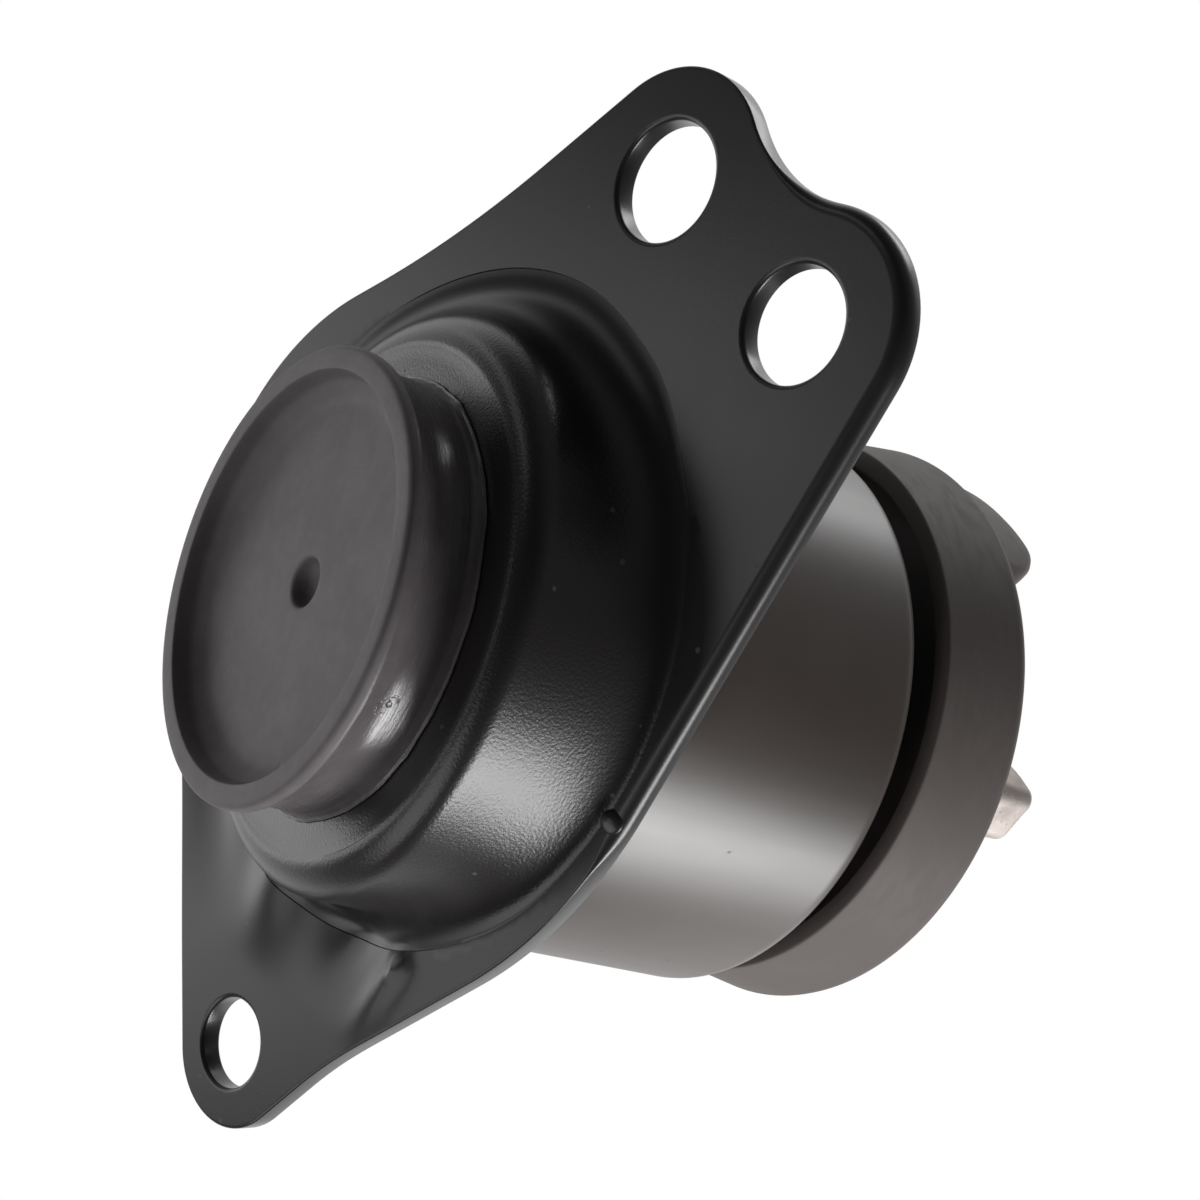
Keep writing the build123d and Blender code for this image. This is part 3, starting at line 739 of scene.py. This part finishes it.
back_of_sheet = (FLANGE_H + SHEET / cos(TILT) - SEAT_H) * 0.001
sleeve = turned("body_sleeve",
                [(SLEEVE_R, SLEEVE_LOW, 0), (SLEEVE_R, SLEEVE_TOP, ROLL_R), (LIP_R, SLEEVE_TOP, 0.6),
                 (LIP_R, LIP_H, 0), (SLEEVE_IN_R, LIP_H, 0), (SLEEVE_IN_R, SLEEVE_LOW, 0)],
                coat, cut=(back_of_sheet, tan(TILT)), grain=0.5)
put_on(sleeve, coat, "sleeve", slot="black_paint")

# Bellows ring and spring ring. Two deep drawn steel rings inside the body: one
# stands in the cup and carries the stack, the other is bonded to the spring.


def plated(name, dark, pale, rough, across, along):
    """Zinc plate: pale cells of crystal, drawing marks across and along the axis, dull patches."""
    metal, spot = start_finish(name)
    cells = spot.cells(0.9, "Color")
    marks = spot.times(across, across, along).noise(1.0, 3.0, 0.6).step(0.3, 0.7)
    dull = spot.noise(0.08, 3.0).step(0.4, 0.75)
    end_finish(spot, (cells * 0.3 + dull * 0.7).tint(pale, dark), rough + dull * 0.12 + marks * 0.05,
               marks * 0.7 + spot.noise(3.0) * 0.3, 0.01, metal=1.0)
    return metal


def dress(material, *names):
    """Gives the CAD solids that show their true shape a finish of their own."""
    for name in names:
        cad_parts[name].data.materials.clear()
        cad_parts[name].data.materials.append(material)


drawn_zinc = plated("drawn zinc plated steel", (0.42, 0.40, 0.36), (0.62, 0.61, 0.58),
                    0.30, 0.5, 0.05)
dress(drawn_zinc, "bellows_ring", "spring_ring")

# Bellows and decoupler. Thin soft mouldings of black rubber, left dull and
# dusted with talc: one closes the lower chamber, one lies loose in the sieves.
soft, spot = start_finish("soft black rubber")
talc = spot.noise(0.25, 3.0, 0.65).step(0.45, 0.8)
flow = spot.times(0.2, 0.2, 1.4).noise(1.0, 2.0).step(0.3, 0.7)
dusted = (talc * 0.5 + flow * 0.2).tint((0.013, 0.013, 0.013), (0.060, 0.059, 0.057))
end_finish(spot, dusted, 0.58 + talc * 0.2, spot.noise(2.6, 3.0) * 0.6 + flow * 0.4, 0.02)
dress(soft, "bellows", "decoupler")

# Channel plates. Two die cast aluminium plates with the fluid's groove and a
# sieve of holes between them, held together by three peened steel rivets.
die_cast, spot = start_finish("die cast aluminium")
swirl = spot.times(1.0, 1.0, 0.3).noise(0.12, 4.0, 0.6).step(0.3, 0.7)
pore = spot.specks(0.8, 0.08, 0.16)
cast = (swirl * 0.7 + pore * 0.3).tint((0.66, 0.65, 0.63), (0.46, 0.45, 0.44))
end_finish(spot, cast, 0.36 + swirl * 0.14 + pore * 0.2, swirl * 0.5 - pore, 0.02, metal=1.0)
dress(die_cast, "lower_plate", "upper_plate")
peened = plated("peened zinc steel", (0.40, 0.39, 0.36), (0.66, 0.65, 0.62), 0.26, 2.0, 2.0)
dress(peened, "track_rivets")

# Core. One aluminium casting, lightly blasted: a cone that the spring is bonded
# to, a stem through the cap, and a turned head with the lug seen past the cap.
CORE_TURN = radians(12.5)
CAP_TOP_H = 84.5
STEM_R = 15.9
INSERT_R = 9.0
INSERT_LOW = 66.4
CHAMFER = 0.3            # on the insert's ends, and at the mouth of its bore in the core
# outline of the head in its own turned plane, as (across, along, corner radius)
CORE_HEAD = [(17.4, -23.0, 6.0), (17.4, 28.6, 2.4), (8.0, 28.6, 2.4), (8.0, 23.0, 1.2), (-17.4, 23.0, 6.0),
             (-17.4, -23.0, 6.0)]
CORE_DRAFT = 0.026       # how far its walls lean in per millimetre of height
CORE_TOP_R = 1.1         # rounding of its top edge
# height of the lug's crown by the place along the head
LUG_CROWN = [(12.0, 96.6), (16.0, 97.4), (21.0, 98.2), (24.5, 98.8), (27.0, 98.8), (28.6, 98.4)]
LUG_FOOT = (7.7, 11.7, 1.9)  # where the lug rises, across and along, and over what width
CORE_STEM = [(STEM_R, 77.2), (18.0, 76.5), (18.0, 75.4), (11.0, 58.0), (8.5, 54.0), (2.6, 54.0), (2.6, 62.0),
             (0.0, 62.0)]


def core_top(u, v):
    """Height of the core's top over a place in its head's own turned plane."""
    share = eased((u - LUG_FOOT[0]) / LUG_FOOT[2]) * eased((v - LUG_FOOT[1]) / LUG_FOOT[2])
    rough = 0.12 * noise.noise((u * 0.35, v * 0.35, 2.0)) + 0.05 * noise.noise((u * 1.3, v * 1.3, 5.0))
    return SEAT_H + (between(LUG_CROWN, v) - SEAT_H + rough) * share


def on_core(u, v, h):
    return place(u * cos(CORE_TURN) - v * sin(CORE_TURN), u * sin(CORE_TURN) + v * cos(CORE_TURN), h)


def make_core():
    shell = Shell()
    flat = {}
    outline = rounded(CORE_HEAD, 0.45)

    def lay(inset, drop, height=None):
        """A ring of the head's wall, inset from its outline, at a height or as far below its top."""
        spots = [(x + nx * inset(i), y + ny * inset(i)) for i, (x, y, nx, ny) in enumerate(outline)]
        made = shell.ring([on_core(u, v, height(i) if height else tops[i] - drop)
                           for i, (u, v) in enumerate(spots)])
        flat.update(zip(made, spots))
        return made

    tops = [core_top(x + nx * (CORE_TOP_R + 0.3), y + ny * (CORE_TOP_R + 0.3)) for x, y, nx, ny in outline]
    lean = [CORE_DRAFT * (top - CAP_TOP_H) for top in tops]
    rings = [lay(lambda i: 0.0, 0.0, lambda i: CAP_TOP_H)]
    for k in range(1, 9):
        share = k / 8
        rings.append(lay(lambda i: lean[i] * share, 0.0,
                         lambda i: CAP_TOP_H + (tops[i] - CORE_TOP_R - CAP_TOP_H) * share))
    for k in range(1, 6):
        a = pi / 2 * k / 5
        rings.append(lay(lambda i: lean[i] + CORE_TOP_R * (1 - cos(a)), CORE_TOP_R * (1 - sin(a))))
    rings.append(lay(lambda i: lean[i] + CORE_TOP_R + 0.15, 0.0))
    shell.bridge(rings)
    turns = spread(96)

    def circle(r, h):
        made = shell.ring([on_core(r * cos(a), r * sin(a), h) for a in turns])
        flat.update(zip(made, [(r * cos(a), r * sin(a)) for a in turns]))
        return made

    bore = [circle(r, h) for r, h in ((INSERT_R + 2 * CHAMFER, SEAT_H), (INSERT_R + CHAMFER, SEAT_H),
                                      (INSERT_R, SEAT_H - CHAMFER), (INSERT_R, INSERT_LOW),
                                      (0.0, INSERT_LOW))]
    stem = [circle(r, h) for r, h in [(STEM_R + 0.2, CAP_TOP_H), (STEM_R, CAP_TOP_H)] + CORE_STEM]
    shell.bridge(bore)
    shell.bridge(stem)
    shell.fill(rings[-1], [bore[0]], flat, 0.62, lambda u, v: on_core(u, v, core_top(u, v)))
    shell.fill(rings[0], [stem[0]], flat, 2.0, lambda u, v: on_core(u, v, CAP_TOP_H))
    return shell.piece("cast_core", 34)


blasted, spot = start_finish("blasted cast aluminium")
shot = spot.noise(2.6, 3.0, 0.7)
skin = spot.noise(0.22, 3.0, 0.6).step(0.3, 0.7)
pit = spot.specks(0.7, 0.05, 0.14)
cast = (skin * 0.7 + pit * 0.3).tint((0.51, 0.46, 0.43), (0.38, 0.34, 0.315))
end_finish(spot, cast, 0.60 + skin * 0.10, shot * 0.8 + skin * 0.5 - pit * 0.8, 0.05, metal=0.75)
core = make_core()
put_on(core, blasted, "core", slot="cast_aluminium")

# Threaded insert. A zinc plated steel bush pressed into the core's head and
# tapped for the bracket bolt, with a chamfered mouth and a real thread.
THREAD_R = 6.0
THREAD_PITCH = 1.75
THREAD_DEEP = 24.0
DRILL_POINT = 1.2        # how far the bore's cone goes on below the thread
THREAD_BARE = 3.0        # bore without thread, at both ends together
MOUTH = 0.7              # the chamfer where the thread starts
tapped = plated("tapped zinc steel", (0.44, 0.42, 0.38), (0.64, 0.62, 0.58), 0.28, 0.6, 3.0)
insert = turned("tapped_insert",
                [(INSERT_R - CHAMFER, INSERT_LOW, 0), (INSERT_R, INSERT_LOW + CHAMFER, 0),
                 (INSERT_R, SEAT_H - CHAMFER, 0), (INSERT_R - CHAMFER, SEAT_H, 0),
                 (THREAD_R + MOUTH, SEAT_H, 0),
                 (THREAD_R, SEAT_H - MOUTH, 0), (THREAD_R, SEAT_H - THREAD_DEEP, 0),
                 (0.0, SEAT_H - THREAD_DEEP - DRILL_POINT, 0), (0.0, INSERT_LOW, 0)],
                tapped, steps=96, sharp=30)
put_on(insert, tapped, "core_insert", slot="zinc_steel")


def thread_tree():
    """Geometry Nodes that sweep a tooth along a spiral."""
    tree = bpy.data.node_groups.new("thread", "GeometryNodeTree")
    given = take(tree, {"Tooth": "Geometry", "Radius": "Float", "Pitch": "Float", "Turns": "Float",
                        "Low": "Float", "Steps": "Int", "Finish": "Material"})
    radius, turns = given.beside("Radius"), given.beside("Turns")
    spiral = given.node("GeometryNodeCurveSpiral", {}, {
        "Resolution": given.beside("Steps"), "Rotations": turns,
        "Start Radius": radius, "End Radius": radius,
        "Height": given.beside("Pitch") * turns})
    upright = given.node("GeometryNodeSetCurveNormal", {"mode": "Z_UP"}, {"Curve": spiral})
    low = given.node("ShaderNodeCombineXYZ", {}, {"Z": given.beside("Low")})
    stands = given.node("GeometryNodeTransform", {}, {"Geometry": upright, "Translation": low})
    tooth = given.node("GeometryNodeMeshToCurve", {}, {"Mesh": given})
    swept = given.node("GeometryNodeCurveToMesh", {},
                       {"Curve": stands, "Profile Curve": tooth, "Fill Caps": True})
    finish(swept, given.beside("Finish"))
    return tree


# the tooth's corners as (into the bore, along it)
TOOTH = [(-0.06, -0.72), (0.82, -0.13), (0.82, 0.13), (-0.06, 0.72)]
mesh = bpy.data.meshes.new("tooth")
mesh.from_pydata([(x * 0.001, y * 0.001, 0.0) for x, y in TOOTH], [(0, 1), (1, 2), (2, 3), (3, 0)], [])
turns = (THREAD_DEEP - THREAD_BARE) / THREAD_PITCH
thread = grown("insert_thread", mesh, thread_tree(),
               {"Radius": THREAD_R * 0.001, "Pitch": THREAD_PITCH * 0.001, "Turns": turns, "Steps": 48,
                "Low": (DRILL_POINT - THREAD_DEEP) * 0.001, "Finish": tapped}, 20)
put_on(thread, tapped, "core_insert", slot="zinc_steel")

# Bell plate and its screw. A dished steel disc under the core that stirs the
# fluid and stops the rebound, held by one screw up the middle of the cone.
stamped = plated("stamped zinc steel", (0.38, 0.36, 0.32), (0.60, 0.58, 0.54), 0.34, 0.9, 0.9)
dress(stamped, "bell_plate")
turned_steel = plated("turned zinc steel", (0.46, 0.44, 0.40), (0.68, 0.66, 0.62), 0.24, 0.3, 4.0)
dress(turned_steel, "bell_screw")

# Main spring. A thick cone of black rubber moulded between the core and the
# spring ring, with soft hollows above and below.
SPRING = [(32.8, 53.0, 0), (32.8, 62.6, 0.0), (31.0, 63.6, 2.5), (28.6, 66.0, 9.0), (24.8, 70.4, 12.0),
          (20.8, 74.2, 8.0), (18.0, 75.4, 0), (11.0, 58.0, 0), (12.4, 56.2, 1.0), (15.6, 56.6, 3.0),
          (19.6, 57.0, 4.0), (24.0, 54.6, 6.0), (27.4, 50.6, 2.0), (29.0, 49.2, 0)]
moulded, spot = start_finish("moulded spring rubber")
flow = spot.times(0.16, 0.16, 0.5).noise(1.0, 3.0, 0.6).step(0.3, 0.7)
bloom = spot.noise(0.35, 3.0, 0.6).step(0.5, 0.85)
rings = spot.across().math("SINE", spot.across() * 5.5)
bloomed = (flow * 0.3 + bloom * 0.7).tint((0.014, 0.014, 0.014), (0.046, 0.044, 0.042))
end_finish(spot, bloomed, 0.50 + bloom * 0.2,
           spot.noise(2.2, 3.0) * 0.5 + rings * 0.12 + flow * 0.3, 0.03)
spring = turned("rubber_main_spring", SPRING, moulded, steps=160, grain=0.9)
put_on(spring, moulded, "main_spring", slot="black_rubber")

# Fill ball. A bright steel ball pressed into the sleeve's hole after the fluid
# has been filled through it.
bright = plated("bright ball steel", (0.50, 0.49, 0.47), (0.70, 0.69, 0.67), 0.16, 1.2, 1.2)
dress(bright, "fill_ball")

# Stop cap. A rubber disc pulled over the core's head, with a skirt over the
# sleeve's end and two raised stops that the engine bracket meets.
CAP_OFF = 2.1            # how far the cap's rim lies off the mount's axis, towards the two-hole side
# the skirt's underside and wall, up to its rounded rim, as (radius, height)
CAP_OUT = [(31.8, 79.6), (33.4, 78.2), (33.9, 75.0), (34.3, 73.3), (34.6, 72.85), (34.8, 72.8),
           (35.6, 72.8), (36.6, 72.8), (36.85, 72.87), (36.95, 73.05), (37.0, 73.3), (37.1, 74.0),
           (37.55, 76.5), (38.1, 79.8), (38.6, 82.8), (38.75, 83.8), (38.85, 84.3), (38.7, 84.85),
           (38.2, 85.22)]
# from there inwards, point for point, between the stops and over a stop's top
CAP_PLAIN = [(37.6, 85.38), (37.1, 85.4), (36.7, 85.4), (36.2, 85.4), (35.6, 85.36), (35.1, 85.25),
             (34.6, 85.08), (34.1, 84.88), (33.5, 84.68), (32.8, 84.55), (31.8, 84.5), (30.8, 84.5),
             (29.8, 84.5), (29.0, 84.5), (28.3, 84.5), (27.7, 84.5)]
CAP_STOP = [(37.75, 85.4), (37.5, 85.7), (37.4, 87.2), (37.35, 90.5), (37.3, 93.0), (36.95, 94.2),
            (36.2, 94.95), (35.1, 95.28), (33.7, 95.3), (32.2, 95.3), (30.8, 95.25), (29.7, 94.8),
            (28.9, 93.8), (28.55, 92.2), (28.3, 88.0), (27.7, 85.2)]
CAP_LOW_H = 79.6
STOP_TOP_H = 95.3
STOP_HALF = 37.0         # the stops' sloping ends cross this angle at STOP_FOOT_H
STOP_FOOT_H = 82.5
STOP_SLOPE = radians(35)
STOP_MID_R = 33.0


def softest(a, b, reach, sign):
    """The lesser of two heights, or the greater with sign -1, with a soft change over their meeting."""
    apart = max(0.0, reach - abs(a - b)) / reach
    return sign * (min(sign * a, sign * b) - apart * apart * reach / 4)


def stop_share(a):
    """How high the stop stands at an angle, from 0 between the stops to 1 along their tops."""
    off = abs((degrees(a) + 90) % 180 - 90)
    lean = STOP_FOOT_H + STOP_MID_R * sin(radians(STOP_HALF - off)) / tan(STOP_SLOPE)
    top = softest(softest(lean, STOP_TOP_H, 3.6, 1), CAP_TOP_H, 2.0, -1)
    return min(1.0, max(0.0, (top - CAP_TOP_H) / (STOP_TOP_H - CAP_TOP_H)))


def make_cap():
    shell = Shell()
    steps = 480
    angles = spread(steps)
    shares = [stop_share(a) for a in angles]
    rows = [[p] * steps for p in CAP_OUT]
    for low, high in zip(CAP_PLAIN, CAP_STOP):
        row = []
        for k in shares:
            # a low stop is already as broad as a full one
            out = min(1.0, k * 1.6)
            row.append((low[0] + (high[0] - low[0]) * out, low[1] + (high[1] - low[1]) * k))
        rows.append(row)
    middle = [(27.0, CAP_TOP_H), (20.0, CAP_TOP_H), (STEM_R + 0.3, CAP_TOP_H),
              (STEM_R, CAP_TOP_H - 0.3), (STEM_R, CAP_LOW_H + 0.3), (STEM_R + 0.3, CAP_LOW_H)]
    rows += [[p] * steps for p in middle]
    points = []
    for ring in rows:
        line = []
        for angle, (r, h) in zip(angles, ring):
            off = CAP_OFF * eased((r - STEM_R) / 8.0)
            line.append(place(off + r * cos(angle), r * sin(angle), h))
        points.append(line)
    made = shell.stack(points)
    shell.join(made[-1], made[0])
    return shell.piece("rubber_stop_cap", 50)


cap_rubber, spot = start_finish("stop cap rubber")
pebble = spot.noise(1.9, 3.0, 0.6)
bloom = spot.noise(0.06, 3.0).step(0.25, 0.75)
smear = spot.times(0.25, 0.25, 0.9).noise(1.0, 3.0, 0.65).step(0.4, 0.75)
fleck = spot.specks(0.3, 0.03, 0.06)
brown = (bloom * 0.5 + smear * 0.4 + fleck * 0.6).tint((0.115, 0.098, 0.092), (0.150, 0.130, 0.124))
end_finish(spot, brown, 0.66 + smear * 0.08, pebble * 0.7 + smear * 0.3, 0.02)
cap = make_cap()
put_on(cap, cap_rubber, "stop_cap", slot="cap_rubber")

# Floor. A plain pale sheet under the pad's rim, seen from above only, so that
# the camera below it looks at the mount as the photographer did.
floor_mesh = bpy.data.meshes.new("floor")
half = 2.0
floor_h = -SEAT_H * 0.001
floor_mesh.from_pydata([(-half, -half, floor_h), (half, -half, floor_h), (half, half, floor_h),
                        (-half, half, floor_h)], [], [(0, 1, 2, 3)])
floor = added("floor", floor_mesh)
floor_finish = bpy.data.materials.new("pale floor")
blank = cleared(floor_finish)
behind = blank.node("ShaderNodeNewGeometry", {}, {}, "Backfacing")
pale = blank.node("ShaderNodeBsdfPrincipled", {}, {"Base Color": (0.86, 0.86, 0.86, 1.0), "Roughness": 0.9})
clear = blank.node("ShaderNodeBsdfTransparent", {}, {})
both = blank.node("ShaderNodeMixShader", {}, {0: behind, 1: pale, 2: clear})
both.node("ShaderNodeOutputMaterial", {}, {"Surface": both})
floor_mesh.materials.append(floor_finish)
floor.visible_diffuse = False
floor.visible_glossy = False
floor.visible_transmission = False
floor.visible_shadow = False

# Camera. Where the photographer stood, below the mount and to its side.
camera = added("camera", bpy.data.cameras.new("camera"))
camera.location = (0.071539, 0.207933, -0.201440)
camera.rotation_euler = Euler([radians(a) for a in (-156.5304, -51.2398, 44.1242)])
camera.data.sensor_width = 36.0
camera.data.lens = 62.4076
camera.data.clip_start = 0.01
bpy.context.scene.camera = camera
right, up, toward = (Vector(axis) for axis in camera.rotation_euler.to_matrix().transposed())

# Studio. A white surround that is dark where black cloth hung beside and behind
# the photographer, and six soft lamps.
BEHIND_LIGHT = 0.59      # what the white paper behind the mount gives it
SIDE_LIGHT = 0.14        # what comes from above their right shoulder
CLOTH_LIGHT = 0.03
LAMP_AWAY = 0.8
world = bpy.data.worlds.new("studio")
bpy.context.scene.world = world
blank = cleared(world)
way = blank.node("ShaderNodeTexCoord", {}, {}, "Generated")
facing = way.vector("DOT_PRODUCT", toward)
beside = way.vector("DOT_PRODUCT", (right + up).normalized())
paper = 1.0 - facing.step(-0.6, -0.2)
rays = blank.node("ShaderNodeLightPath", {}, {}, "Is Camera Ray")
seen = rays.math("MAXIMUM", rays, rays.beside("Is Transmission Ray"))
glossy = rays.beside("Is Glossy Ray")
from_paper = paper * (BEHIND_LIGHT + glossy * (1.0 - BEHIND_LIGHT))
from_side = beside.step(0.5, 0.9) * SIDE_LIGHT
lit = from_paper + from_side + CLOTH_LIGHT
strength = seen.math("MAXIMUM", seen, lit)
glow = blank.node("ShaderNodeBackground", {}, {"Color": (1.0, 1.0, 1.0, 1.0), "Strength": strength})
glow.node("ShaderNodeOutputWorld", {}, {"Surface": glow})


def lamp(name, angle, turn, size, power):
    """A soft lamp at an angle from the photographer's line of sight, turned about it from their right.
    Its size is given along that angle and across it."""
    data = bpy.data.lights.new(name, "AREA")
    data.shape = "RECTANGLE"
    data.size, data.size_y = size
    data.energy = power
    box = added(name, data)
    a, t = radians(angle), radians(turn)
    out = right * cos(t) + up * sin(t)
    way = out * sin(a) + toward * cos(a)
    along = out * cos(a) - toward * sin(a)
    stand = Matrix((along, way.cross(along), way)).transposed()
    box.location = Vector((0.0, 0.0, -0.05)) + way * LAMP_AWAY
    box.rotation_euler = stand.to_euler()


lamp("left_softbox", 98, 171, (0.80, 0.46), 1.9)
lamp("low_left_lamp", 62, 216, (0.60, 0.70), 2.4)
lamp("top_left_lamp", 88, 126, (0.80, 0.12), 0.30)
lamp("key_lamp", 80, 299, (0.32, 0.38), 5.8)
lamp("rear_lamp", 125, 300, (0.40, 0.40), 0.3)
lamp("right_lamp", 112, 50, (0.34, 0.34), 1.5)

bpy.context.scene.view_settings.view_transform = "Standard"
